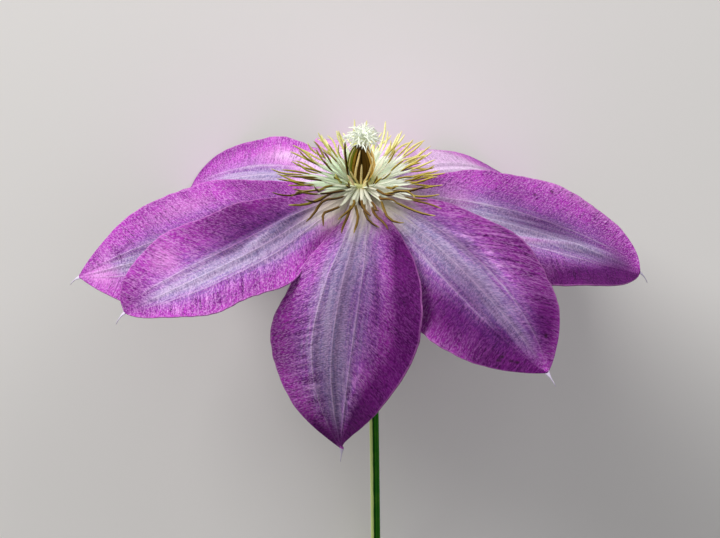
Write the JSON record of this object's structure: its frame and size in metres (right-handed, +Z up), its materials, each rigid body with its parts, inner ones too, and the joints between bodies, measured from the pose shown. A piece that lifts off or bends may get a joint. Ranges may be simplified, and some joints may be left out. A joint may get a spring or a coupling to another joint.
{
  "type": "clematis flower",
  "caption": "Cut clematis bloom lying on its back petals and stem end: broad drooping petals, a ring of stamens, a pistil and a ribbed stem.",
  "frame": {"origin": "bottom centre of the bounding box, on the surface that the cut flower lies on", "axes": "+Z up from the surface; the stem runs back to -Y and the flower's face leans towards +Y and up; +X is to the right when looking down with the stem at the bottom"},
  "size_m": [0.1544, 0.136, 0.0985],
  "materials": {
    "stem": "smooth waxy green stalk with shallow ribs",
    "stamens": "matt cream filaments with ochre and olive anthers",
    "pistil": "matt brown and olive strap-like inner organs with cream streaks",
    "stigma_tuft": "downy white curling styles",
    "petal": "soft magenta-violet margins, pale lilac ribbed bar, fine crepe-like grain"
  },
  "bodies": {
    "root": {"stem": "stem", "stamens": "stamens", "pistil": "pistil", "stigma_tuft": "stigma_tuft", "tepal_front": "petal", "tepal_front_left": "petal", "tepal_left": "petal", "tepal_back_left": "petal", "tepal_back": "petal", "tepal_back_right": "petal", "tepal_right": "petal", "tepal_front_right": "petal"}
  },
  "joints": []
}
